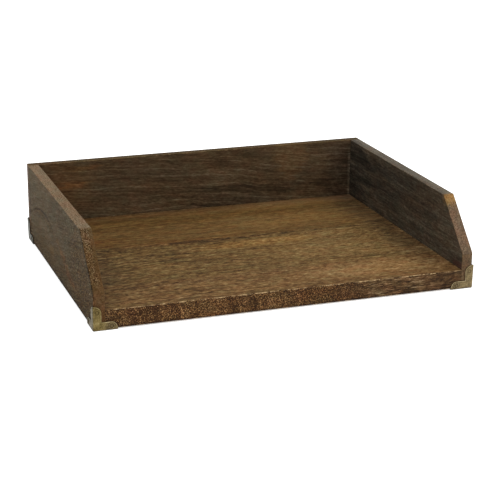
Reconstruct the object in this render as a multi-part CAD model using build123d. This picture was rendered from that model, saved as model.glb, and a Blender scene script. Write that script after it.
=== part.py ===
from build123d import *
import os

os.makedirs("parts", exist_ok=True)

# Open paper tray of dark-stained wood with brass corner guards, in millimetres.
# X runs from left to right, Y from the open front to the back, Z up.
# The origin is centred under the tray, on the plane that the four guards stand on.

# Wooden tray
tray_width = 330
tray_depth = 253
board_height = 71.6
side_thickness = 9.5
back_thickness = 8
base_thickness = 15.8
rear_stave_width = 96
middle_stave_width = 96

# Raked front of the side boards
rake_setback = 40
foot_height = 30.5
rake_corner_radius = 2.5
foot_corner_radius = 1
arris_radius = 0.6

# Stamped corner guards, measured over their outer faces
guard_sheet = 0.9
guard_leg = 20.5
guard_arm_width = 7
arm_end_reach = 5.3
fold_radius = 0.8
bead_radius = 2.3
bead_wire_radius = 0.4
bead_height = 0.3

# Tacks of the guards
tack_from_arm_end = 5.2
tack_shank_radius = 0.6
tack_length = 6.5
tack_tip_length = 1.5
tack_head_radius = 1.45
tack_head_height = 0.6
tack_hole_clearance = 0.1

# Brads of the wooden joints
brad_shank_radius = 0.6
brad_head_radius = 0.9
brad_head_height = 0.6
brad_length = 25
brad_tip_length = 1.5
brad_set_depth = 1.5
brad_inset_in_stave = 18
back_brad_pitch = 75
back_brad_margin = 30
end_brad_below_top = 14
end_brad_spacing = 28
driven_clearance = 0.05

# Planes and places worked out from the sizes
wood_bottom = guard_sheet
wood_top = wood_bottom + board_height
base_top = wood_bottom + base_thickness
base_middle = wood_bottom + base_thickness / 2
left_x = -tray_width / 2
inner_left_x = left_x + side_thickness
side_middle_x = left_x + side_thickness / 2
front_y = -tray_depth / 2
back_y = tray_depth / 2
inner_back_y = back_y - back_thickness
rear_seam_y = inner_back_y - rear_stave_width
front_seam_y = rear_seam_y - middle_stave_width
tack_from_corner = guard_leg - tack_from_arm_end
tack_from_fold = guard_arm_width / 2

stave_spans = {
    "rear": (rear_seam_y, inner_back_y),
    "middle": (front_seam_y, rear_seam_y),
    "front": (front_y, front_seam_y),
}


def block(x_span, y_span, z_span):
    """A box between two values on each axis."""
    low = [min(span) for span in (x_span, y_span, z_span)]
    size = [max(span) - min(span) for span in (x_span, y_span, z_span)]
    return Pos(*low) * Box(*size, align=Align.MIN)


def mirrored(things, about=Plane.YZ):
    """A list of things as the other side of the tray has them."""
    return [mirror(thing, about=about) for thing in things]


def in_all_four_corners(things):
    """Copies of a list of front left things, by the name of their corner."""
    rear_left = mirrored(things, about=Plane.XZ)
    return {
        "front_left": things,
        "front_right": mirrored(things),
        "rear_left": rear_left,
        "rear_right": mirrored(rear_left),
    }


# Turns from +X, the way that a brad or tack is modelled, to the ways that it is driven
driven_forward = (0, 0, -90)
driven_backward = (0, 0, 90)


# Brads

def brad(growth=0):
    """A brad driven along +X with its head's top at the origin, or the hole that it makes."""
    shank = brad_shank_radius + growth
    head = brad_head_radius + growth
    outline = Polyline(
        (-growth, 0),
        (-growth, head),
        (brad_head_height + growth, head),
        (brad_head_height + growth, shank),
        (brad_length - brad_tip_length, shank),
        (brad_length + growth, 0),
        close=True,
    )
    return revolve(make_face(outline), Axis.X)


def side_brad_places():
    """Two brads through the left side board into the end of each stave."""
    head_x = left_x + brad_set_depth
    places = []
    for stave_front, stave_back in stave_spans.values():
        for y in (stave_front + brad_inset_in_stave, stave_back - brad_inset_in_stave):
            places.append(Location((head_x, y, base_middle)))
    return places


def back_brad_places():
    """A row of brads through the back board into the rear stave."""
    inner_width = tray_width - 2 * side_thickness
    steps = int((inner_width - 2 * back_brad_margin) / back_brad_pitch)
    row = [(step - steps / 2) * back_brad_pitch for step in range(steps + 1)]
    head_y = back_y - brad_set_depth
    return [Location((x, head_y, base_middle), driven_forward) for x in row]


def end_brad_places():
    """Two brads through the back board into the rear end of the left side board."""
    high = wood_top - end_brad_below_top
    heights = (high - end_brad_spacing, high)
    head_y = back_y - brad_set_depth
    return [Location((side_middle_x, head_y, z), driven_forward) for z in heights]


def driven(places, growth=0):
    """Brads, or their holes, at each of the places."""
    return [place * brad(growth) for place in places]


side_brad_holes = driven(side_brad_places(), driven_clearance)
back_brad_holes = driven(back_brad_places(), driven_clearance)
end_brad_holes = driven(end_brad_places(), driven_clearance)


# Tacks

def tack():
    """A round-headed tack driven along +X, with the underside of its head at the origin."""
    dome = TangentArc((-tack_head_height, 0), (0, tack_head_radius), tangent=(0, 1))
    outline = dome + Polyline(
        (0, tack_head_radius),
        (0, tack_shank_radius),
        (tack_length - tack_tip_length, tack_shank_radius),
        (tack_length, 0),
        (-tack_head_height, 0),
    )
    return revolve(make_face(outline), Axis.X)


def tack_hole(growth):
    """The hole of one tack through the guard and into the wood."""
    end_at_origin = (Align.CENTER, Align.CENTER, Align.MIN)
    shank = Cylinder(tack_shank_radius + growth, tack_length + growth, align=end_at_origin)
    return Rot(0, 90, 0) * shank


def tack_places():
    """The front left guard's tacks: two through its front leaf and one through its side leaf."""
    outer_x = left_x - guard_sheet
    outer_y = front_y - guard_sheet
    return [
        Location((outer_x + tack_from_corner, outer_y, tack_from_fold), driven_backward),
        Location((outer_x + tack_from_fold, outer_y, tack_from_corner), driven_backward),
        Location((outer_x, outer_y + tack_from_corner, tack_from_fold)),
    ]


corner_tack_holes = [place * tack_hole(driven_clearance) for place in tack_places()]
tack_holes = [hole for holes in in_all_four_corners(corner_tack_holes).values() for hole in holes]


# Wooden boards

def base_stave(name):
    """One stave of the base, its fibres running left to right, drilled for the brads and tacks."""
    stave = block((inner_left_x, -inner_left_x), stave_spans[name], (wood_bottom, base_top))
    if name == "front":
        front_edges = stave.faces().sort_by(Axis.Y)[0].edges().filter_by(Axis.X)
        stave = fillet(front_edges, arris_radius)
    return stave - [*side_brad_holes, *mirrored(side_brad_holes), *back_brad_holes, *tack_holes]


def back_board():
    """The back, behind the ends of the side boards and the base."""
    board = block((left_x, -left_x), (inner_back_y, back_y), (wood_bottom, wood_top))
    rear_edges = board.faces().sort_by(Axis.Y)[-1].edges()
    top_edges = board.faces().sort_by(Axis.Z)[-1].edges()
    board = fillet(rear_edges + top_edges.filter_by(lambda edge: edge not in rear_edges), arris_radius)
    return board - [*back_brad_holes, *end_brad_holes, *mirrored(end_brad_holes), *tack_holes]


def side_board():
    """The left side board, cut down in a rake to its square front end."""
    outline = Polyline(
        (front_y, wood_bottom),
        (inner_back_y, wood_bottom),
        (inner_back_y, wood_top),
        (front_y + rake_setback, wood_top),
        (front_y, wood_bottom + foot_height),
        close=True,
    )
    board = Pos(left_x, 0, 0) * extrude(Plane.YZ * make_face(outline), side_thickness)
    across = board.edges().filter_by(Axis.X)
    rake_top = across.group_by(Axis.Z)[-1].sort_by(Axis.Y)[0]
    board = fillet(rake_top, rake_corner_radius)
    across = board.edges().filter_by(Axis.X)
    rake_foot = across.group_by(Axis.Y)[0].sort_by(Axis.Z)[-1]
    board = fillet(rake_foot, foot_corner_radius)
    outer_edges = board.faces().sort_by(Axis.X)[0].edges()
    inner_edges = board.faces().sort_by(Axis.X)[-1].edges()
    inner_bottom = inner_edges.filter_by(Axis.Y).sort_by(Axis.Z)[0]
    open_edges = outer_edges + inner_edges.filter_by(lambda edge: edge != inner_bottom)
    rear = board.faces().sort_by(Axis.Y)[-1].edges()
    board = fillet(open_edges.filter_by(lambda edge: edge not in rear), arris_radius)
    return board - [*side_brad_holes, *end_brad_holes, *tack_holes]


# Corner guards

def arm_outline():
    """One arm of a leaf, along +X from the outer corner, with its end cut as a quarter ellipse."""
    end_start = guard_leg - arm_end_reach
    end = EllipticalCenterArc((end_start, 0), arm_end_reach, guard_arm_width, arc_size=90)
    rest = Polyline((end_start, guard_arm_width), (0, guard_arm_width), (0, 0), (guard_leg, 0))
    return make_face(end + rest)


def arm_space():
    """The room of the guard's arm along +X: both of its leaves end in the same curve."""
    upright = Plane.XZ * arm_outline()
    flat = arm_outline()
    return extrude(upright, guard_leg, dir=(0, 1, 0)) & extrude(flat, guard_leg, dir=(0, 0, 1))


def bead():
    """The rounded bead pressed round a tack hole, on a leaf that faces -X."""
    ring = Rot(0, 90, 0) * Torus(bead_radius, bead_wire_radius)
    return Pos(bead_wire_radius - bead_height, 0, 0) * ring


def corner_guard():
    """The front left guard: three folded leaves, each an L along two edges of the tray."""
    cube = Box(guard_leg, guard_leg, guard_leg, align=Align.MIN)
    folds = cube.edges().sort_by_distance((0, 0, 0))[:3]
    shell = fillet(folds, fold_radius) - Pos(guard_sheet, guard_sheet, guard_sheet) * cube
    along_x = arm_space()
    along_y = mirror(along_x, about=Plane((0, 0, 0), z_dir=(1, -1, 0)))
    along_z = mirror(along_x, about=Plane((0, 0, 0), z_dir=(1, 0, -1)))
    guard = shell & (along_x + along_y + along_z)
    guard = Pos(left_x - guard_sheet, front_y - guard_sheet, 0) * guard
    guard = guard + [place * bead() for place in tack_places()]
    return guard - [place * tack_hole(tack_hole_clearance) for place in tack_places()]


# The pieces, one file each

def group(fasteners):
    """Identical fasteners as one group of separate solids."""
    return Compound(children=[fastener.solid() for fastener in fasteners])


left_side_board = side_board()
side_brads = driven(side_brad_places())
end_brads = driven(end_brad_places())
tacks = [place * tack() for place in tack_places()]
pieces = {
    "base_stave_rear": base_stave("rear"),
    "base_stave_middle": base_stave("middle"),
    "base_stave_front": base_stave("front"),
    "back_board": back_board(),
    "left_side_board": left_side_board,
    "right_side_board": mirror(left_side_board, about=Plane.YZ),
    "left_side_brads": group(side_brads),
    "right_side_brads": group(mirrored(side_brads)),
    "back_to_base_brads": group(driven(back_brad_places())),
    "back_to_left_brads": group(end_brads),
    "back_to_right_brads": group(mirrored(end_brads)),
}
for corner, (guard,) in in_all_four_corners([corner_guard()]).items():
    pieces["guard_" + corner] = guard
for corner, corner_tacks in in_all_four_corners(tacks).items():
    pieces["guard_tacks_" + corner] = group(corner_tacks)

for name, piece in pieces.items():
    export_step(piece, os.path.join("parts", name + ".step"))
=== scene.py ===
from math import copysign, pi, radians

import bmesh
import bpy
from mathutils import Matrix, Vector


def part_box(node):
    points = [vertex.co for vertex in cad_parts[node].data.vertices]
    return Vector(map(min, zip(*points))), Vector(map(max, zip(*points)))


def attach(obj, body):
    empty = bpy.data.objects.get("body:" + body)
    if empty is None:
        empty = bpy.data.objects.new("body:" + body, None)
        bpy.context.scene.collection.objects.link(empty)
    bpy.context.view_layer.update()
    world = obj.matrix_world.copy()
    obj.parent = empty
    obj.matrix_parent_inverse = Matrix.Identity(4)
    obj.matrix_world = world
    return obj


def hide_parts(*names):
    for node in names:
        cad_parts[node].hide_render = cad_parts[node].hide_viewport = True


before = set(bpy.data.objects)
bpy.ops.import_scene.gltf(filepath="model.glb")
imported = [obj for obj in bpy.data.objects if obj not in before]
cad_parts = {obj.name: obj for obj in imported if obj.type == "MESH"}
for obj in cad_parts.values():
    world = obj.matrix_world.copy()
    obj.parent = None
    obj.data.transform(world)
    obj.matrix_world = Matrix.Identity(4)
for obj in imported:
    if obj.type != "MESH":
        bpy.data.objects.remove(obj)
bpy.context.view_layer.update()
scene = bpy.context.scene

# Camera, solved from the corners of the tray in the 500 x 500 photograph
CAMERA_PLACE = (-0.4155, -1.2019, 0.4286)
CAMERA_TURN = radians(-19.463)
CAMERA_DIP = radians(18.174)
CAMERA_ROLL = radians(0.418)
CAMERA_LENS = 107.84
CAMERA_SENSOR = 36
CAMERA_REACH = 200

# Floor and light
WHITE = (1.0, 1.0, 1.0, 1)
FLOOR_SIZE = 80.0
FLOOR_COLOR = (0.9, 0.9, 0.9, 1)
FLOOR_ROUGHNESS = 0.9
FLOOR_GLOW = 0.42
DOME_STRENGTH = 0.5
OVERHEAD_FROM = (0.06, -0.25, 1.0)
OVERHEAD_SPREAD = radians(115)
OVERHEAD_STRENGTH = 3.2

# Places on the tray in millimetres, read from the CAD nodes
MM = 1000.0


def span(node):
    """Lowest and highest corner of a CAD node, in millimetres."""
    low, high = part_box(node)
    return low * MM, high * MM


FRONT_LOW, FRONT_HIGH = span("base_stave_front")
BACK_LOW, BACK_HIGH = span("back_board")
LEFT_LOW, LEFT_HIGH = span("left_side_board")
RIGHT_LOW, RIGHT_HIGH = span("right_side_board")

# The side boards' rakes, as in the CAD
RAKE_SETBACK = 40.0
FOOT_HEIGHT = 30.5

# Corner guards, as in the CAD
CORNERS = ("front_left", "front_right", "rear_left", "rear_right")
GUARD_SHEET = 0.9
GUARD_LEG = 20.5
GUARD_ARM = 7.0
GUARD_END = 5.3
GUARD_OUT_X = RIGHT_HIGH.x + GUARD_SHEET
GUARD_OUT_Y = BACK_HIGH.y + GUARD_SHEET
TACK_FAR = 15.3
TACK_NEAR = 3.5
TACK_BEAD = 2.3


# Camera, light and floor

def add_camera():
    """The camera at the photograph's place, turn and lens."""
    camera = bpy.data.cameras.new("camera")
    camera.lens = CAMERA_LENS
    camera.sensor_width = CAMERA_SENSOR
    camera.clip_end = CAMERA_REACH
    holder = bpy.data.objects.new("camera", camera)
    scene.collection.objects.link(holder)
    turn = Matrix.Rotation(CAMERA_TURN, 4, "Z")
    dip = Matrix.Rotation(pi / 2 - CAMERA_DIP, 4, "X")
    roll = Matrix.Rotation(CAMERA_ROLL, 4, "Z")
    holder.matrix_world = Matrix.Translation(CAMERA_PLACE) @ turn @ dip @ roll
    scene.camera = holder


def add_light():
    """A white dome and one broad soft light from above."""
    world = bpy.data.worlds.new("studio")
    world.use_nodes = True
    background = world.node_tree.nodes["Background"]
    background.inputs["Color"].default_value = WHITE
    background.inputs["Strength"].default_value = DOME_STRENGTH
    scene.world = world
    overhead = bpy.data.lights.new("overhead", "SUN")
    overhead.energy = OVERHEAD_STRENGTH
    overhead.angle = OVERHEAD_SPREAD
    holder = bpy.data.objects.new("overhead", overhead)
    scene.collection.objects.link(holder)
    holder.rotation_euler = Vector(OVERHEAD_FROM).to_track_quat("Z", "Y").to_euler()


def add_floor():
    """A pale floor that glows a little, so that it comes out white."""
    material = bpy.data.materials.new("floor_paper")
    material.use_nodes = True
    paper = material.node_tree.nodes["Principled BSDF"]
    paper.inputs["Base Color"].default_value = FLOOR_COLOR
    paper.inputs["Roughness"].default_value = FLOOR_ROUGHNESS
    paper.inputs["Emission Color"].default_value = WHITE
    paper.inputs["Emission Strength"].default_value = FLOOR_GLOW
    half = FLOOR_SIZE / 2
    corners = [(-half, -half, 0), (half, -half, 0), (half, half, 0), (-half, half, 0)]
    mesh = bpy.data.meshes.new("studio_floor")
    mesh.from_pydata(corners, [], [(0, 1, 2, 3)])
    mesh.materials.append(material)
    floor = bpy.data.objects.new("studio_floor", mesh)
    scene.collection.objects.link(floor)


# Arithmetic on shader values

NOISE_LOW = 0.28
NOISE_HIGH = 0.72


def feed(tree, value, socket):
    """Joins a field or a node's output to a socket, or sets the socket to a number or a colour."""
    if isinstance(value, Field):
        tree.links.new(value.socket, socket)
    elif isinstance(value, bpy.types.NodeSocket):
        tree.links.new(value, socket)
    else:
        socket.default_value = value


class Field:
    """A number that varies over a surface. Arithmetic on it adds Math nodes to its material."""

    def __init__(self, tree, socket):
        self.tree = tree
        self.socket = socket

    def apply(self, operation, *others):
        node = self.tree.nodes.new("ShaderNodeMath")
        node.operation = operation
        for socket, value in zip(node.inputs, (self, *others)):
            feed(self.tree, value, socket)
        return Field(self.tree, node.outputs[0])

    def __add__(self, other):
        return self.apply("ADD", other)

    def __sub__(self, other):
        return self.apply("SUBTRACT", other)

    def __rsub__(self, other):
        return self.apply("MULTIPLY", -1) + other

    def __mul__(self, other):
        return self.apply("MULTIPLY", other)

    def __truediv__(self, other):
        return self.apply("DIVIDE", other)

    __radd__ = __add__
    __rmul__ = __mul__

    def __abs__(self):
        return self.apply("ABSOLUTE")

    def fraction(self):
        return self.apply("FRACT")

    def power(self, exponent):
        return self.apply("POWER", exponent)

    def least(self, other):
        return self.apply("MINIMUM", other)

    def most(self, other):
        return self.apply("MAXIMUM", other)

    def remap(self, low, high, to_low=0.0, to_high=1.0, smooth=False):
        """Maps low..high onto to_low..to_high, clamped."""
        node = self.tree.nodes.new("ShaderNodeMapRange")
        node.interpolation_type = "SMOOTHSTEP" if smooth else "LINEAR"
        self.tree.links.new(self.socket, node.inputs["Value"])
        node.inputs["From Min"].default_value = low
        node.inputs["From Max"].default_value = high
        node.inputs["To Min"].default_value = to_low
        node.inputs["To Max"].default_value = to_high
        return Field(self.tree, node.outputs["Result"])

    def step(self, low, high):
        """0 below low, 1 above high, smooth between; falls where low is above high."""
        if low > high:
            return 1 - self.step(high, low)
        return self.remap(low, high, smooth=True)

    def near(self, centre, reach):
        """1 at the centre, falling to 0 within reach on either side."""
        return abs(self - centre).step(reach, 0)


class Paint:
    """One material's nodes, built by short calls."""

    def __init__(self, name):
        self.material = bpy.data.materials.new(name)
        self.material.use_nodes = True
        self.tree = self.material.node_tree
        self.shader = self.tree.nodes["Principled BSDF"]

    def place(self):
        """The three coordinates in the tray's frame, in millimetres."""
        coordinates = self.tree.nodes.new("ShaderNodeTexCoord")
        split = self.tree.nodes.new("ShaderNodeSeparateXYZ")
        self.tree.links.new(coordinates.outputs["Object"], split.inputs[0])
        return [Field(self.tree, output) * MM for output in split.outputs]

    def vector(self, x, y, z):
        join = self.tree.nodes.new("ShaderNodeCombineXYZ")
        for socket, value in zip(join.inputs, (x, y, z)):
            feed(self.tree, value, socket)
        return join.outputs[0]

    def noise(self, x, y, z, detail=2.0, rough=0.5):
        """Noise over three coordinates, from about -0.5 to 0.5."""
        node = self.tree.nodes.new("ShaderNodeTexNoise")
        self.tree.links.new(self.vector(x, y, z), node.inputs["Vector"])
        node.inputs["Scale"].default_value = 1.0
        node.inputs["Detail"].default_value = detail
        node.inputs["Roughness"].default_value = rough
        return Field(self.tree, node.outputs[0]).remap(NOISE_LOW, NOISE_HIGH, -0.5, 0.5)

    def round_noise(self, place, size, detail=2.0, rough=0.5, offset=0.0):
        """Noise whose features have one size in all directions, in millimetres."""
        x, y, z = place
        return self.noise(x / size + offset, y / size, z / size, detail, rough)

    def ramp(self, value, colors, stain=(1, 1, 1)):
        """Evenly spaced colours by value, each multiplied by a stain."""
        node = self.tree.nodes.new("ShaderNodeValToRGB")
        self.tree.links.new(value.socket, node.inputs[0])
        elements = node.color_ramp.elements
        while len(elements) < len(colors):
            elements.new(1.0)
        for index, color in enumerate(colors):
            elements[index].position = index / (len(colors) - 1)
            elements[index].color = shade(color, stain)
        return node.outputs["Color"]

    def mix(self, share, first, second, blend="MIX"):
        """Blends two colours by a share."""
        node = self.tree.nodes.new("ShaderNodeMix")
        node.data_type = "RGBA"
        node.blend_type = blend
        sockets = [s for s in node.inputs if s.enabled]
        for socket, value in zip(sockets, (share, first, second)):
            feed(self.tree, value, socket)
        return next(s for s in node.outputs if s.enabled)

    def tint(self, color, share, times):
        """Multiplies a colour's red, green and blue by three numbers, by a share."""
        return self.mix(share, color, (*times, 1), "MULTIPLY")

    def set(self, socket_name, value):
        feed(self.tree, value, self.shader.inputs[socket_name])

    def bump(self, height, depth_mm, strength):
        """Relief from a height field; depth_mm is what a height of 1 stands for."""
        node = self.tree.nodes.new("ShaderNodeBump")
        node.inputs["Strength"].default_value = strength
        node.inputs["Distance"].default_value = depth_mm / MM
        self.tree.links.new(height.socket, node.inputs["Height"])
        self.tree.links.new(node.outputs[0], self.shader.inputs["Normal"])


def shade(color, stain=(1, 1, 1)):
    """A colour given as 0..255 screen values, in Blender's linear values times a stain."""
    channels = [c / 255 for c in color]
    linear = [c / 12.92 if c <= 0.04045 else ((c + 0.055) / 1.055) ** 2.4 for c in channels]
    return (*[c * s for c, s in zip(linear, stain)], 1)


def second_least(values):
    """The second least of several fields, such as the distance from a box's nearest edge."""
    least = values[0].least(values[1])
    second = values[0].most(values[1])
    for value in values[2:]:
        second = second.least(least.most(value))
        least = least.least(value)
    return second


# Wood

class Board:
    """What the wood of one board looks like: its grain, its faces and its marks."""

    def __init__(
        self, node, fibres, seed, edges=None, faces=(), marks=(), washes=(), detail=None, **look
    ):
        self.node = node
        self.fibres = fibres
        self.seed = seed
        self.edges = edges
        self.faces = faces
        self.marks = marks
        self.washes = washes
        self.detail = detail
        self.look = {**PLAIN_LOOK, **look}


class Face:
    """A face that was cut or rubbed differently from the rest of its board."""

    def __init__(self, distance, tone=0.0, warmth=0.0, speckle=0.0, pits=0.0, calm=0.0, tint=(1, 1, 1)):
        self.distance = distance
        self.tone = tone
        self.warmth = warmth
        self.speckle = speckle
        self.pits = pits
        self.calm = calm
        self.tint = tint


DARKEST = (45, 26, 10)
COOL = ((34, 23, 11), (62, 45, 24), (90, 70, 44), (117, 97, 70), (146, 127, 100))
WARM = ((38, 23, 10), (70, 47, 21), (102, 74, 41), (133, 103, 65), (162, 133, 94))
GREY = ((27, 22, 15), (46, 38, 28), (69, 59, 46), (98, 87, 72), (134, 123, 107))
PALE = (150, 124, 90)
REDDER = (1.08, 0.97, 0.96)
GREENER = (0.92, 1.03, 1.03)
PLAIN_LOOK = {"cool": COOL, "warm": WARM, "drift": (0, 0), "gloss": 0.08}

# Each board's grain starts this far, in millimetres, from the one before
SEED_STEP = 531.7

# Layers of grain: a feature's length and width in millimetres, detail, roughness and offset
LAYERS = {
    "sway": (110, 45, 2, 0.5, 0),
    "ripple": (22, 9, 2, 0.5, 0),
    "patch": (85, 24, 2, 0.5, 0),
    "band": (70, 4.5, 2, 0.6, 0),
    "streak": (26, 1.6, 2, 0.6, 0),
    "curl": (7.5, 3.4, 3, 0.66, 0),
    "fleck": (3.4, 1.0, 1, 0.6, 0),
    "pore": (4.0, 0.55, 1, 0.5, 0),
    "hue": (45, 15, 2, 0.5, 77),
    "redness": (13, 8, 2, 0.6, 55),
}

# The wood's roughness before its grain changes it, and the depth and strength of its relief
WOOD_ROUGHNESS = 0.65
WOOD_RELIEF = 0.15
RELIEF_STRENGTH = 0.8

# How uneven a mark's rim is, and where it ends, both in squared half widths
MARK_RAGGED = 0.9
MARK_RIM = 1.3

# Depths in millimetres where a face's own look is full, and where it has faded out
SKIN_FULL = 0.3
SKIN_END = 0.9


def skin(distance):
    """1 on a face, falling to 0 just under it."""
    return distance.step(SKIN_END, SKIN_FULL)


def off(distance):
    """A distance whose skin is the opposite of another one's."""
    return SKIN_END + SKIN_FULL - distance


def late_wood(paint, look, u, across, deep, sway, ripple):
    """The dark outer part of each growth ring. The pith lies beside or under the board."""
    pith_across, pith_deep = look["pith"]
    off_across = across - pith_across
    off_deep = deep - pith_deep
    radius = (off_across * off_across + off_deep * off_deep).power(0.5)
    rings = (radius + sway * look["sway"] + ripple * look["ripple"]) / look["ring_width"]
    rings = rings + paint.noise(rings / 3, u / 300, 0.5)
    ring = rings.fraction()
    broken = paint.noise(u / 60, rings, 7.5).remap(-0.35, 0.3)
    return ring.power(4) * ring.step(1.0, 0.9) * broken


def marked(board, along, across, ragged, tone, warmth):
    """Tone and warmth with a board's marks, which are soft long patches with ragged ends."""
    for along_at, across_at, half_length, half_width, slope, change, warmer in board.marks:
        far = (along - along_at) / half_length
        wide = (across - across_at - (along - along_at) * slope) / half_width
        spot = (far * far + wide * wide + ragged * MARK_RAGGED).step(MARK_RIM, 0.0)
        tone = tone + spot * change
        warmth = warmth + spot * warmer
    return tone, warmth


def wood(board):
    """The material of one board."""
    look = board.look
    paint = Paint(board.node + "_wood")
    x, y, z = place = paint.place()
    along = place["xyz".index(board.fibres)]
    across, deep = [value for axis, value in zip("xyz", place) if axis != board.fibres]
    mark_across = place["xyz".index(look["mark_axis"])]
    drift_across, drift_deep = look["drift"]
    across = across - along * drift_across
    deep = deep - along * drift_deep
    u = along + board.seed * SEED_STEP

    def layer(name, first, second):
        length, width, detail, rough, offset = LAYERS[name]
        return paint.noise(u / length + offset, first / width, second / width, detail, rough)

    # Growth rings, fibres, pores and patches of tone
    sway = layer("sway", across, deep)
    ripple = layer("ripple", across, deep)
    late = late_wood(paint, look, u, across, deep, sway, ripple)
    v = across + ripple * look["wave"]
    w = deep + ripple * look["wave"]
    patch = layer("patch", across, deep)
    band = layer("band", v, w)
    streak = layer("streak", v, w)
    curl = layer("curl", v, w)
    fleck = layer("fleck", v, w)
    pore = layer("pore", v, w).step(0.22, 0.45)
    hue = layer("hue", across, deep)
    redness = layer("redness", v, w)

    tone = look["tone"] + patch * look["patch"]
    grain = (
        band * look["band"]
        + streak * look["streak"]
        + curl * look["curl"]
        + fleck * look["fleck"]
        - late * look["late"]
    )
    warmth = look["warmth"] + hue * look["hue"] + band * 0.2
    ragged = band * 1.2 + curl * 0.7 + streak * 0.6
    tone, warmth = marked(board, along, mark_across, ragged, tone, warmth)

    # Faces cut and rubbed differently from the rest of the board
    speck = paint.round_noise(place, 1.05, rough=0.7, offset=31)
    pit = paint.noise(x / 0.9, y / 0.9 + 31, z / 0.9, detail=1).step(0.12, 0.32)
    open_grain = pore * look["pore"]
    masks = [skin(face.distance(x, y, z)) for face in board.faces]
    for mask, face in zip(masks, board.faces):
        grain = grain * (1 - mask * face.calm)
        tone = tone + mask * (face.tone + speck * face.speckle)
        warmth = warmth + mask * (face.warmth + speck * 0.3)
        open_grain = open_grain * (1 - mask) + mask * pit * face.pits
    tone = tone + grain
    if board.detail:
        tone, warmth, open_grain = board.detail(paint, place, tone, warmth, open_grain)

    cool = paint.ramp(tone, look["cool"], look["stain"])
    warm = paint.ramp(tone, look["warm"], look["stain"])
    color = paint.mix(warmth.remap(0, 1), cool, warm)
    redness = (redness - grain * 0.6 + 0.5).remap(0, 1)
    color = paint.tint(color, redness, REDDER)
    color = paint.tint(color, 1 - redness, GREENER)
    for mask, face in zip(masks, board.faces):
        color = paint.tint(color, mask, face.tint)
    for where, times in board.washes:
        color = paint.tint(color, where(paint, x, y, z), times)
    color = paint.mix(open_grain, color, shade(DARKEST))

    # Arrises rubbed pale, unevenly
    if board.edges:
        rub = paint.round_noise(place, 5, detail=3, rough=0.75, offset=13)
        inset = second_least(board.edges(x, y, z))
        worn = (inset - (rub + 0.15) * look["worn_width"]).step(0.3, -0.3)
        color = paint.mix(worn * look["worn"], color, shade(look["worn_tone"]))

    paint.set("Base Color", color)
    paint.set("Roughness", WOOD_ROUGHNESS + open_grain * 0.25 - streak * 0.15)
    paint.set("Specular IOR Level", look["gloss"])
    relief = streak * 0.5 + fleck * 0.4 + curl * 0.25 - open_grain * 1.2
    paint.bump(relief, WOOD_RELIEF, RELIEF_STRENGTH)
    return paint.material


# Distances from the planes of the boards, in millimetres

def front_stave_edges(x, y, z):
    return [FRONT_HIGH.z - z, y - FRONT_LOW.y, z - FRONT_LOW.z]


def back_edges(x, y, z):
    faces = [BACK_HIGH.z - z, y - BACK_LOW.y, BACK_HIGH.y - y]
    return faces + [x - BACK_LOW.x, BACK_HIGH.x - x, z - BACK_LOW.z]


def rake_depth(low, high):
    """Distance under the raked end of a side board."""
    drop = high.z - low.z - FOOT_HEIGHT
    slope = (RAKE_SETBACK ** 2 + drop ** 2) ** 0.5
    return lambda x, y, z: ((y - low.y) * drop - (z - low.z - FOOT_HEIGHT) * RAKE_SETBACK) / slope


left_rake = rake_depth(LEFT_LOW, LEFT_HIGH)
right_rake = rake_depth(RIGHT_LOW, RIGHT_HIGH)


def side_edges(low, high, rake):
    """Distances from a side board's planes, its rake among them."""
    return lambda x, y, z: [high.z - z, x - low.x, high.x - x, rake(x, y, z), z - low.z]


def top_face(high):
    """Distance under a board's top."""
    return lambda x, y, z: high.z - z


def side_top(high, rake):
    """Distance under a side board's top, forward to its rake."""
    return lambda x, y, z: (high.z - z).most(off(rake(x, y, z)))


def front_face(low):
    """Distance behind a board's front."""
    return lambda x, y, z: y - low.y


def foot_face(low, rake):
    """Distance behind a side board's front, up to its rake."""
    return lambda x, y, z: (y - low.y).most(off(rake(x, y, z)))


# Washes of colour over the boards, each a share from 0 to 1 by the place in millimetres

# Where the sawn front's rings begin to run out in streaks, and where they have done so
RUN_OUT = (25, 90)


def by_right_board(paint, x, y, z):
    """The shade beside the right board."""
    return x.step(116, 150)


def by_left_board(paint, x, y, z):
    """The shade beside the left board."""
    return x.step(-112, -146)


def by_back_board(paint, x, y, z):
    """The shade before the back board."""
    return y.step(92, 118)


def by_run_out(paint, x, y, z):
    """The front stave's front, where its rings run out in streaks."""
    return skin(y - FRONT_LOW.y) * x.step(*RUN_OUT)


def red_corner(paint, x, y, z):
    """A reddish patch at the left end of the rear stave."""
    ragged = paint.noise(x / 14, y / 6, 0.5)
    left_end = (x + ragged * 16).step(-98, -136)
    return left_end * (y + ragged * 8).near(44, 26)


def by_seam(paint, x, y, z):
    """A reddish smudge along the middle seam, left of its dark line."""
    ragged = paint.noise(x / 9, y / 4, 0.5)
    left_half = x.step(-118, -90) * x.step(30, -30)
    return (y - ragged * 4).near(21, 9) * left_half * 0.8


def upper_part(paint, x, y, z):
    """The upper part of a side board, by its ragged lower limit."""
    return (z + paint.noise(y / 30, z / 12, 0.5) * 14).step(14, 30)


def lower_outside(paint, x, y, z):
    """The lower part of the left board's outer face."""
    return (1 - upper_part(paint, x, y, z)) * skin(x - LEFT_LOW.x)


def orange_streak(paint, x, y, z):
    """A slanting orange streak on the left board."""
    ragged = paint.noise(y / 6, z / 5, 2.5)
    slanting = (y - z * 2.4 + 86 + ragged * 18).near(0, 17)
    middle_height = z.step(42, 32) * z.step(9, 16)
    return slanting * middle_height


def orange_end(paint, x, y, z):
    """Two orange streaks near the left end of the back board."""
    ragged = paint.noise(x / 16, z / 3, 1.5)
    upper = (z + ragged * 2).near(65.5, 3.5) * (x + ragged * 20).near(-116, 28)
    lower = (z + ragged * 4).near(50, 6) * (x + ragged * 14).near(-125, 19)
    return upper.most(lower) * skin(y - BACK_LOW.y)


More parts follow.
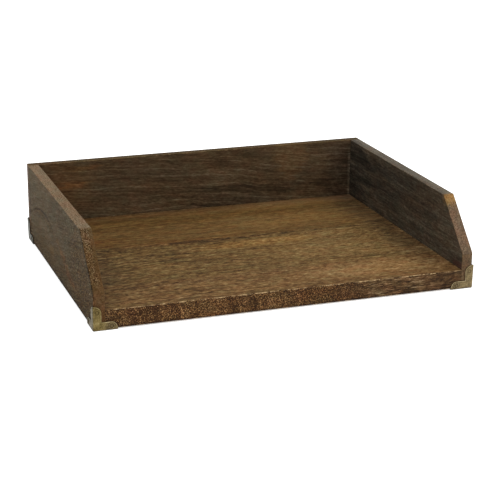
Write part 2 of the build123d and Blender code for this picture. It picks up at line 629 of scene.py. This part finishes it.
def corner_light(paint, x, y, z):
    """A pale line down the back board's face beside the right board."""
    ragged = paint.noise(x, y, z / 6)
    line = x.near(RIGHT_LOW.x - 1.1, 2.2) * skin(y - BACK_LOW.y)
    fading_up = z.step(72, 42)
    return line * (ragged * 0.6 + 0.6) * fading_up


def right_top_inner(paint, x, y, z):
    """The darker inner half of the right board's top."""
    ragged = paint.noise(x / 3, y / 12, 0.5)
    inner_half = (x + ragged * 2).step(160, 155)
    return skin(RIGHT_HIGH.z - z) * inner_half


def right_rake_top(paint, x, y, z):
    """The golden upper end of the right board's rake."""
    ragged = paint.noise(x / 3, y / 4, z / 4)
    upper_end = (z + ragged * 5).step(62, 70)
    return skin(right_rake(x, y, z)) * upper_end


def right_front_foot(paint, x, y, z):
    """A dark red patch at the foot of the right board's inner face."""
    ragged = paint.noise(y / 5, z / 2, 0.5) * 4
    inner_face = skin(x - RIGHT_LOW.x) * (y - RIGHT_LOW.y).step(0.2, 1.0)
    front_end = (y + ragged * 2).step(-106, -116)
    return inner_face * front_end * (z + ragged).step(25, 20)


# Features of a single board

# Growth rings on the sawn front: the place of each, and how much darker the wood to its left is.
# At a height of d from RING_BOW_Z each has bowed by d * d / RING_BOW_SPREAD.
FRONT_RINGS = ((-127, 0.2), (-108, 0.22), (-92, 0.1), (-43, 0.14), (-26, 0.16), (8, 0.14))
RING_BOW_Z = 6
RING_BOW_SPREAD = 17

# The arched growth line on the left board: its top, from where it drops by d * d / ARCH_SPREAD
ARCH_Y = 54
ARCH_Z = 45
ARCH_SPREAD = 230


def sawn_front(paint, place, tone, warmth, open_grain):
    """The front stave's sawn front: rings stand on end at the left and run out in streaks, with painted
    shade along its bottom edge.
    """
    x, y, z = place
    face = skin(y - FRONT_LOW.y)
    run_out = x.step(*RUN_OUT)
    speck = paint.round_noise(place, 0.85, rough=0.7, offset=31)
    cloud = paint.noise(x / 13 + 3, z / 30, 0.5, rough=0.6)
    by_guard = x.near(FRONT_LOW.x, 12)
    # Painted shade: the front darker along its bottom edge, at the floor
    shaded_lower_arris = z.step(3.5, 1.2)
    change = speck * (1 - run_out * 0.85) * 1.85 + cloud * 0.3 - by_guard * 0.15
    change = change - x.near(0, 75) * 0.05 - shaded_lower_arris * 0.35

    bow = (z - RING_BOW_Z) * (z - RING_BOW_Z) / RING_BOW_SPREAD
    for at, darker in FRONT_RINGS:
        line = (x + bow).near(at, 1.1)
        shadow = (x + bow).near(at - 5, 6)
        change = change + line * 0.25 - shadow * darker

    wave = paint.noise(x / 14, z / 8, 4.5) * 3
    long_streak = paint.noise(x / 8, (z + wave) / 0.8, 2.5, rough=0.65)
    calm = 1 - x.step(95, 140) * 0.45
    tone = tone + face * (change + run_out * (long_streak * calm * 1.15 + 0.05))
    warmth = warmth + face * (0.25 + cloud * -0.4 - run_out * 0.6 - by_guard * 0.4)
    return tone, warmth, open_grain * (1 - face * run_out * 0.7)


def arched_line(paint, place, tone, warmth, open_grain):
    """The left board's arched growth line, its rougher front end, the dots on its rake, and painted
    shade towards its bottom.
    """
    x, y, z = place
    outer = skin(x - LEFT_LOW.x)
    rake = left_rake(x, y, z)
    chips = paint.noise(x / 1.1, y / 4.5, (z + y * 0.25) / 1.3, rough=0.7)
    rough = y.step(0, -75).most(z.step(16, 4)) * 0.5 + 0.15
    # Painted shade: the outer face darker along its bottom edge, at the floor
    shaded_lower_arris = z.step(4, 1)
    rake_arris = outer * rake.step(5.0, 1.5)
    tone = tone + outer * (chips * rough - shaded_lower_arris * 0.25) - rake_arris * 0.25

    arch = z + (y - ARCH_Y) * (y - ARCH_Y) / ARCH_SPREAD - ARCH_Z
    ends = y.step(12, 36) * y.step(116, 94)
    line = arch.near(0, 1.8) * 0.22 + arch.near(-3, 6) * 0.1
    # Painted shade: the whole board darker towards its bottom, as if lit more from above
    shaded_lower_part = z.step(16, 1)
    tone = tone - ends * line - shaded_lower_part * 0.1
    warmth = warmth + ends * arch.near(-2, 6) * 0.7

    dotted = skin(rake) * x.step(LEFT_HIGH.x - 1, LEFT_HIGH.x - 4) * z.step(33, 40)
    dots = paint.round_noise(place, 0.8, rough=0.7, offset=7)
    return tone + dotted * dots * 1.25, warmth, open_grain


# The boards
#
# tone is a board's mean brightness from 0 to 1, and patch, band, streak, curl, fleck, late and pore are
# the strengths of its layers. warmth runs from the cool colours at 0 to the warm ones at 1, and hue is
# how far it varies. stain multiplies the red, green and blue of both.
#
# pith is the rings' centre across the fibres, and ring_width, sway and ripple are their width and waver
# in millimetres. wave is the fibres' waver, and drift is their lean for each millimetre along.
#
# worn, worn_width and worn_tone are the share, width and colour of the rubbed arrises.
#
# A mark's line is its place along and across the fibres, half length, half width, slope, change of tone
# and change of warmth. A wash's line is where it lies, and what it multiplies red, green and blue by.

BOARDS = [
    Board(
        "base_stave_rear", "x", 1,
        marks=[
            (80, 106, 70, 14, 0, 0.17, 0.1),
            (-60, 80, 90, 10, 0, -0.06, 0),
            (70, 56, 75, 22, 0, 0.1, 0.2),
            # Painted shade on the base beside the right board
            (150, 70, 26, 70, 0, -0.09, -0.3),
            (-115, 40, 30, 20, 0, -0.03, 0.4),
            (-50, 26, 90, 7, 0, -0.07, 0.2),
        ],
        washes=[
            (by_right_board, (0.96, 1.0, 1.35)), (by_back_board, (1.04, 1.02, 1.38)),
            (by_seam, (1.06, 0.95, 0.98)), (red_corner, (1.16, 0.97, 0.9)),
        ],
        tone=0.5, patch=0.1, band=0.18, streak=0.22, curl=0.32, fleck=0.2, late=0.06, pore=0.3,
        pith=(40, -140), sway=10, ripple=2.5, ring_width=6, wave=2.0, mark_axis="y",
        stain=(0.69, 0.65, 0.46), warmth=0.55, hue=0.6,
        worn=0.6, worn_width=0.6, worn_tone=PALE,
    ),
    Board(
        "base_stave_middle", "x", 2,
        marks=[
            (-30, 19, 40, 5, 0, -0.22, 0),
            (-105, 19, 50, 3, 0, -0.12, 0),
            (40, 20, 60, 2.5, 0.01, -0.2, 0),
            (85, 21, 70, 2, 0, -0.14, 0),
            (-85, 5, 85, 24, 0, -0.12, -0.1),
            (15, 0, 75, 11, 0.03, 0.12, 0.7),
            (98, 8, 26, 14, 0, 0.12, 0),
            (75, -44, 70, 36, 0, 0.1, 0.1),
            (-72, -26, 14, 6, 0, -0.1, -0.4),
            (-132, -30, 22, 55, 0, -0.06, -0.2),
            # Painted shade on the base beside the right board
            (145, -20, 20, 50, 0, -0.1, -0.2),
            (-55, -26, 44, 15, 0, -0.07, 0),
            (90, -64, 42, 6, 0, -0.11, 0),
        ],
        washes=[
            (by_right_board, (1.0, 1.02, 1.28)), (by_left_board, (0.97, 0.98, 1.18)),
            (by_seam, (1.06, 0.95, 0.98)),
        ],
        tone=0.5, patch=0.1, band=0.12, streak=0.22, curl=0.56, fleck=0.4, late=0.06, pore=0.35,
        pith=(-60, -90), sway=14, ripple=3.0, ring_width=7, wave=3.0, mark_axis="y",
        stain=(0.86, 0.82, 0.6), warmth=0.25, hue=0.4,
        worn=0.6, worn_width=0.6, worn_tone=PALE,
    ),
    Board(
        "base_stave_front", "x", 3, front_stave_edges,
        faces=[
            Face(
                front_face(FRONT_LOW), tone=-0.26, warmth=0.1, pits=0.5, calm=0.6,
                tint=(1.0, 0.96, 1.03),
            ),
        ],
        washes=[(by_run_out, (1.05, 1.12, 1.3)), (by_right_board, (1.0, 1.0, 1.1))],
        detail=sawn_front,
        marks=[
            (85, -96, 85, 22, 0, 0.13, 0.2),
            (-120, -100, 60, 45, 0, -0.08, 0),
            # Painted shade on the front stave beside the right board's foot
            (142, -88, 18, 16, 0, -0.12, -0.2),
            (-105, -80, 45, 5, 0, -0.08, 0),
        ],
        tone=0.5, patch=0.1, band=0.12, streak=0.22, curl=0.54, fleck=0.4, late=0.06, pore=0.35,
        pith=(-110, -70), sway=14, ripple=3.0, ring_width=7, wave=3.0, mark_axis="y",
        stain=(0.97, 0.88, 0.71), warmth=0.3, hue=0.4,
        worn=0.9, worn_width=1.2, worn_tone=(170, 143, 104),
    ),
    Board(
        "back_board", "x", 4, back_edges,
        faces=[
            Face(
                top_face(BACK_HIGH), tone=-0.04, speckle=0.3, pits=0.3, calm=0.6,
                tint=(0.97, 0.96, 0.67),
            ),
        ],
        marks=[
            (-128, 50, 30, 24, 0, 0.02, 0.5),
            (92, 62, 18, 24, 0, 0.1, 0.9),
            (125, 56, 22, 16, 0, 0.06, 0.1),
            (148, 34, 26, 22, 0, -0.12, -0.3),
            (46, 26, 62, 13, 0, -0.13, -0.3),
            (-72, 24, 36, 10, 0, 0.08, 0.1),
        ],
        washes=[
            (by_right_board, (1.0, 1.03, 1.2)), (corner_light, (2.8, 3.4, 4.1)),
            (orange_end, (1.5, 1.24, 1.0)), (by_left_board, (1.12, 0.99, 0.93)),
        ],
        tone=0.38, patch=0.08, band=0.14, streak=0.2, curl=0.14, fleck=0.22, late=-0.36, pore=0.35,
        pith=(118, -60), sway=12, ripple=0.8, ring_width=4.6, wave=0.8, mark_axis="z",
        stain=(0.68, 0.75, 1.0), warmth=0.4, hue=0.5, drift=(0, -0.09),
        worn=0.6, worn_width=0.7, worn_tone=(140, 118, 88),
    ),
    Board(
        "left_side_board", "y", 5, side_edges(LEFT_LOW, LEFT_HIGH, left_rake),
        faces=[
            Face(
                side_top(LEFT_HIGH, left_rake), tone=0.32, speckle=1.1, pits=0.3, calm=0.5,
                tint=(1.11, 0.93, 0.87),
            ),
            Face(
                left_rake, tone=0.04, warmth=0.5, speckle=0.3, pits=0.2, calm=0.6,
                tint=(0.97, 0.85, 0.83),
            ),
            Face(
                foot_face(LEFT_LOW, left_rake), tone=0.02, warmth=0.5, speckle=0.3, pits=0.1, calm=0.6,
                tint=(1.06, 0.92, 0.99),
            ),
        ],
        detail=arched_line,
        marks=[
            (-12, 52, 12, 1.6, -0.06, -0.12, 0),
            (24, 20, 13, 5, -0.15, 0.02, 0.9),
            (-85, 30, 45, 34, 0, -0.13, 0.7),
            (-15, 44, 62, 46, 0, -0.06, 0),
            (124, 38, 9, 90, 0, -0.3, 0),
        ],
        washes=[
            (upper_part, (1.05, 1.16, 1.3)), (lower_outside, (0.92, 0.91, 0.78)),
            (orange_streak, (1.4, 1.03, 0.8)),
        ],
        tone=0.42, patch=0.04, band=0.06, streak=0.08, curl=0.07, fleck=0.2, late=0.06, pore=0.12,
        pith=(-166, 150), sway=16, ripple=3.0, ring_width=11, wave=2.0, mark_axis="z",
        stain=(0.645, 0.71, 0.79), warmth=0.1, hue=0.3, drift=(0, -0.22),
        worn=0.35, worn_width=0.7, worn_tone=(143, 121, 86), gloss=0.02,
    ),
    Board(
        "right_side_board", "y", 6, side_edges(RIGHT_LOW, RIGHT_HIGH, right_rake),
        faces=[
            Face(
                side_top(RIGHT_HIGH, right_rake), tone=0.28, speckle=0.6, pits=0.2, calm=0.4,
                tint=(0.95, 0.94, 0.92),
            ),
            Face(
                right_rake, tone=0.08, warmth=0.4, speckle=0.4, calm=0.3,
                tint=(1.15, 1.08, 1.2),
            ),
            Face(
                foot_face(RIGHT_LOW, right_rake), tone=0.1, warmth=0.3, speckle=0.3, pits=0.1, calm=0.6,
                tint=(1.02, 0.87, 0.77),
            ),
        ],
        marks=[
            (-89, 70, 7, 8, 0, 0.1, 0.4),
            (100, 45, 36, 30, 0, -0.12, -0.2),
            (-60, 40, 70, 40, 0, 0.04, 0.08),
            (-78, 22, 42, 8, 0, 0.1, 0),
            (56, 66, 20, 6, 0, -0.12, 0),
        ],
        washes=[
            (right_rake_top, (1.14, 1.06, 0.68)), (right_front_foot, (1.08, 0.68, 0.7)),
            (right_top_inner, (0.68, 0.68, 0.68)),
        ],
        tone=0.45, patch=0.08, band=0.2, streak=0.24, curl=0.2, fleck=0.24, late=0.15, pore=0.3,
        pith=(150, -60), sway=10, ripple=2.0, ring_width=5, wave=1.0, mark_axis="z",
        stain=(0.78, 0.86, 0.99), cool=GREY, warmth=0.1, hue=0.2,
        worn=0.5, worn_width=0.7, worn_tone=PALE,
    ),
]


# Brass and steel

def in_corner(x, y, z):
    """Distances in from the three outer faces of the nearest guard."""
    return GUARD_OUT_X - abs(x), GUARD_OUT_Y - abs(y), z


def tack_places(a, b):
    """For each tack of a guard: a distance in, and the tack's place by it and by height."""
    return (a, TACK_FAR, TACK_NEAR), (a, TACK_NEAR, TACK_FAR), (b, TACK_FAR, TACK_NEAR)


def from_nearest_tack(a, b, c):
    """Distance from the nearest of a guard's tacks."""
    reach = []
    for side, far, near in tack_places(a, b):
        over = side - far
        up = c - near
        reach.append((over * over + up * up).power(0.5))
    return reach[0].least(reach[1]).least(reach[2])


BRASS = ((47, 38, 22), (89, 76, 45), (120, 105, 66), (152, 139, 100))
DULL_BRASS = ((56, 47, 33), (96, 83, 60), (132, 116, 83), (158, 144, 114))
GREY_BRASS = ((36, 34, 30), (74, 73, 66), (116, 115, 106), (150, 149, 140))
STEEL = ((110, 110, 108), (172, 172, 170))
BRASS_ROUGHNESS = 0.66
BRASS_RELIEF = 0.08
TACK_RELIEF = 0.04
STEEL_ROUGHNESS = 0.4


def patina(paint, x, y, shine):
    """Brass by its shine: duller on the right guards; greyer at the rear and on the left side, partly
    tarnish and partly a painted grey reflection of the pale surroundings.
    """
    past_fold = x.step(-160, -152)
    left_side = x.step(0.7 - GUARD_OUT_X, 0.1 - GUARD_OUT_X)
    dull = x.step(-60, 60).most(past_fold * 0.8)
    grey_tarnish_and_reflection = y.step(60, 100).most(left_side * 0.5)
    color = paint.mix(dull, paint.ramp(shine, BRASS), paint.ramp(shine, DULL_BRASS))
    return paint.mix(grey_tarnish_and_reflection, color, paint.ramp(shine - 0.1, GREY_BRASS))


def antique_brass():
    """Guards: olive brass, brown where dirt settles; rims and bead tops lighter as rubbed wear and a
    painted highlight; cut edges darker as tarnish and a painted shadow; painted shade along the bottom
    edge.
    """
    paint = Paint("antique_brass_aged")
    x, y, z = place = paint.place()
    a, b, c = in_corner(x, y, z)
    cloud = paint.round_noise(place, 4.5, detail=3, rough=0.65)
    grit = paint.round_noise(place, 0.9, rough=0.65)
    brushed = paint.noise(x / 5, y / 5, z / 0.3)

    # The stamped form, by how near a place is to the outline of its arm
    from_fold = second_least([a, b, c])
    along_arm = a.most(b).most(c)
    past = (along_arm - (GUARD_LEG - GUARD_END)).most(0) / GUARD_END
    outline = past * past + (from_fold / GUARD_ARM).power(2)
    # The band along each arm's free outline made lighter: rubbed wear and a painted highlight
    rim_wear_and_highlight = outline.step(0.80, 0.93)
    groove = outline.near(0.70, 0.16)
    # The sheet's cut edge and inner face darker: tarnish and a painted shadow of the gap to the wood
    cut_edge_tarnish_and_shadow = a.least(b).least(c).step(0.15, 0.4)
    # Painted shade along the guard's bottom edge
    shaded_underside = c.step(1.1, 0.2)

    from_tack = from_nearest_tack(a, b, c)
    bead = from_tack.near(TACK_BEAD, 0.45)
    inside_bead = from_tack.near(TACK_BEAD - 0.65, 0.5)
    outside_bead = from_tack.near(TACK_BEAD + 0.7, 0.5)
    upper = c.step(8, 12)
    dirt = inside_bead.most(outside_bead) * (cloud + 0.7) * (1 - upper * 0.6)

    # Brightness of the brass: patina and wear, with painted highlights on the rims and bead tops, and
    # tarnish with painted shadow and shade on the cut edges and bottom edge
    shine = 0.5 + cloud * 0.45 + grit * 0.35 + brushed * 0.1 + rim_wear_and_highlight * 0.3 + bead * 0.06
    shine = shine - groove * 0.15 - dirt * 0.4 - cut_edge_tarnish_and_shadow * 0.9 - shaded_underside * 0.3
    paint.set("Base Color", patina(paint, x, y, shine))
    paint.set("Metallic", 1.0)
    paint.set("Roughness", BRASS_ROUGHNESS - shine * 0.2)
    paint.bump(grit * 0.6 + cloud * 0.8 - dirt, BRASS_RELIEF, RELIEF_STRENGTH)
    return paint.material


def tack_brass():
    """Tack heads: the same brass, dirty round the skirt of the head."""
    paint = Paint("tack_brass_aged")
    x, y, z = place = paint.place()
    a, b, _ = in_corner(x, y, z)
    cloud = paint.round_noise(place, 1.5, rough=0.6)
    grit = paint.round_noise(place, 0.5, rough=0.6)
    proud = (0 - a).most(0 - b)
    shine = 0.15 + proud.remap(0, 0.6) * 0.35 + cloud * 0.35 + grit * 0.2
    paint.set("Base Color", patina(paint, x, y, shine))
    paint.set("Metallic", 1.0)
    paint.set("Roughness", BRASS_ROUGHNESS - shine * 0.15)
    paint.bump(grit, TACK_RELIEF, 0.7)
    return paint.material


def steel():
    """Brads: plain drawn steel."""
    paint = Paint("brad_steel_drawn")
    drawn = paint.round_noise(paint.place(), 0.5)
    paint.set("Base Color", paint.ramp(drawn + 0.5, STEEL))
    paint.set("Metallic", 1.0)
    paint.set("Roughness", STEEL_ROUGHNESS + drawn * 0.1)
    return paint.material


# Guards with their stamped rims rounded over

# The rounding, and which edges of the sheet it takes, in millimetres and radians
RIM_RADIUS = 0.38
RIM_STEPS = 4
RIM_DEPTH = 0.3
RIM_FOLD = radians(50)
BEAD_CLEAR = TACK_BEAD + 0.7

# What counts as one point in metres, as one flat face, and as a sharp edge
WELD = 2e-6
FLAT = radians(0.5)
SHARP = radians(40)

# Guards whose upright arm has sprung out: how far, from what height up, and how deep in from its face
SPRUNG = ("front_right", "rear_left")
SPRING = 0.55
SPRING_FROM = 11.0
SPRING_DEPTH = GUARD_SHEET + 0.5


def corner_distances(point):
    """A point's distances in from the three outer faces of its guard, in millimetres."""
    return in_corner(*[value * MM for value in point])


def is_outer_rim(edge):
    """Whether an edge of a guard is on the outer side of its free outline."""
    if not edge.is_manifold or edge.calc_face_angle(0) < RIM_FOLD:
        return False
    a, b, c = corner_distances((edge.verts[0].co + edge.verts[1].co) / 2)
    if min(a, b, c) > RIM_DEPTH:
        return False
    return all(
        (side - far) ** 2 + (c - near) ** 2 > BEAD_CLEAR ** 2
        for side, far, near in tack_places(a, b)
    )


def spring_arm(form):
    """Bends a guard's upright arm out from its side board, most at its top."""
    for vertex in form.verts:
        a, _, c = corner_distances(vertex.co)
        if c > SPRING_FROM and a < SPRING_DEPTH:
            lift = SPRING * ((c - SPRING_FROM) / (GUARD_LEG - SPRING_FROM)) ** 2
            vertex.co.x += copysign(lift / MM, vertex.co.x)


def guard_piece(corner, material):
    """A copy of a guard's mesh with rounded outer rims, which stands for the guard."""
    node = "guard_" + corner
    form = bmesh.new()
    form.from_mesh(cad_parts[node].data)
    bmesh.ops.remove_doubles(form, verts=form.verts, dist=WELD)
    bmesh.ops.dissolve_limit(form, angle_limit=FLAT, verts=form.verts, edges=form.edges)
    bmesh.ops.bevel(
        form, geom=[edge for edge in form.edges if is_outer_rim(edge)], offset=RIM_RADIUS / MM,
        offset_type="OFFSET", segments=RIM_STEPS, profile=0.5, affect="EDGES", clamp_overlap=True,
    )
    if corner in SPRUNG:
        spring_arm(form)
    mesh = bpy.data.meshes.new("dressed_" + node)
    form.to_mesh(mesh)
    form.free()
    mesh.shade_smooth()
    mesh.set_sharp_from_angle(angle=SHARP)
    mesh.materials.append(material)
    piece = bpy.data.objects.new("dressed_" + node, mesh)
    scene.collection.objects.link(piece)
    even = piece.modifiers.new("even_faces", "WEIGHTED_NORMAL")
    even.keep_sharp = True
    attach(piece, "root")
    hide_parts(node)


def finish_node(node, material):
    """Gives a CAD node its material."""
    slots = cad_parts[node].data.materials
    slots.clear()
    slots.append(material)


# The scene

scene.view_settings.view_transform = "Standard"
add_camera()
add_light()
add_floor()

for board in BOARDS:
    finish_node(board.node, wood(board))

guard_finish = antique_brass()
tack_finish = tack_brass()
for corner in CORNERS:
    guard_piece(corner, guard_finish)
    finish_node("guard_tacks_" + corner, tack_finish)
brad_finish = steel()
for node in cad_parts:
    if node.endswith("_brads"):
        finish_node(node, brad_finish)
